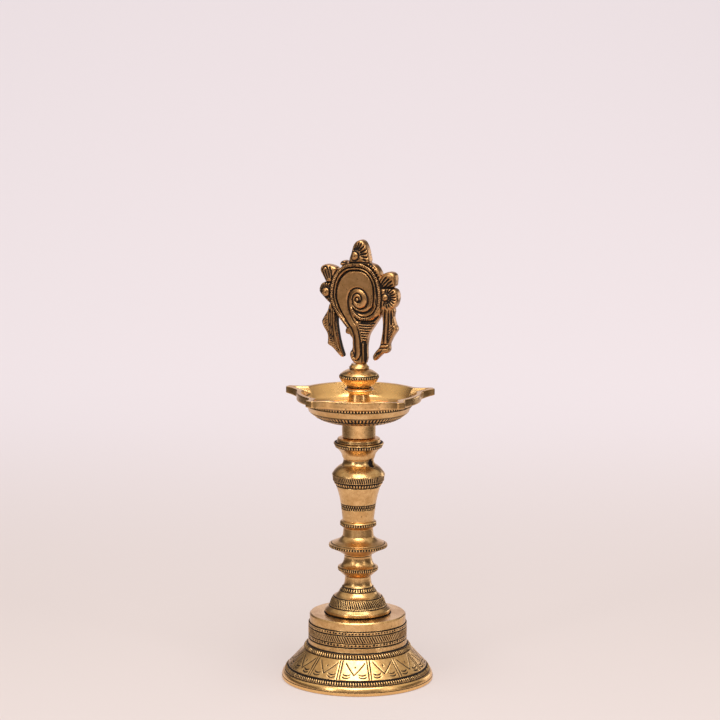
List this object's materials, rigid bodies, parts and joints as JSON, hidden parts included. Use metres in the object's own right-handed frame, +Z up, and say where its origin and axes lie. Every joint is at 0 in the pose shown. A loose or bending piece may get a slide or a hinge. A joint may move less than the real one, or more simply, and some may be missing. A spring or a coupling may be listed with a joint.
{
  "type": "oil lamp",
  "caption": "Free-standing turned brass oil lamp: hollow drum foot, baluster stem, beaked oil dish and conch finial, screwed together on threaded studs.",
  "frame": {"origin": "on the ground under the middle of the lamp, where the axis of the stem meets it", "axes": "+Z up the stem, -Y towards the front, +X to the right seen from the front"},
  "size_m": [0.1045, 0.1055, 0.3049],
  "materials": {
    "polished_brass": "turned and polished, darkened in the engraved grooves",
    "antique_brass": "cast, with a dark antique wash in the recesses",
    "steel": "plain"
  },
  "bodies": {
    "foot_and_stem": {"base_shell": "polished_brass", "stem": "polished_brass", "stem_foot_stud": "steel"},
    "washer": {"base_washer": "steel"},
    "nut": {"base_nut": "steel"},
    "dish_screw": {"dish_stud": "steel"},
    "dish": {"oil_dish": "polished_brass"},
    "finial_screw": {"finial_stud": "steel"},
    "finial": {"finial_knob": "polished_brass", "conch_emblem": "antique_brass"}
  },
  "joints": [
    {"name": "washer_drop", "type": "slide", "parent": "foot_and_stem", "child": "washer", "axis": [0, 0, -1], "range_m": [0, 0.0101]},
    {"name": "nut_turn", "type": "hinge", "parent": "washer", "child": "nut", "pos_m": [0, 0, 0.03715], "axis": [0, 0, -1], "range_deg": [0, 2880]},
    {"name": "dish_lift", "type": "slide", "parent": "foot_and_stem", "child": "dish_screw", "axis": [0, 0, 1], "range_m": [0, 0.0095]},
    {"name": "dish_turn", "type": "hinge", "parent": "dish_screw", "child": "dish", "pos_m": [0, 0, 0.1692], "axis": [0, 0, 1], "range_deg": [0, 2700]},
    {"name": "finial_lift", "type": "slide", "parent": "dish", "child": "finial_screw", "axis": [0, 0, 1], "range_m": [0, 0.0101]},
    {"name": "finial_turn", "type": "hinge", "parent": "finial_screw", "child": "finial", "pos_m": [0, 0, 0.2003], "axis": [0, 0, 1], "range_deg": [0, 3600]}
  ],
  "couplings": [
    {"joint": "washer_drop", "follows": "nut_turn", "m_per_rad": 0.00019894},
    {"joint": "dish_lift", "follows": "dish_turn", "m_per_rad": 0.00019894},
    {"joint": "finial_lift", "follows": "finial_turn", "m_per_rad": 0.00015915}
  ]
}
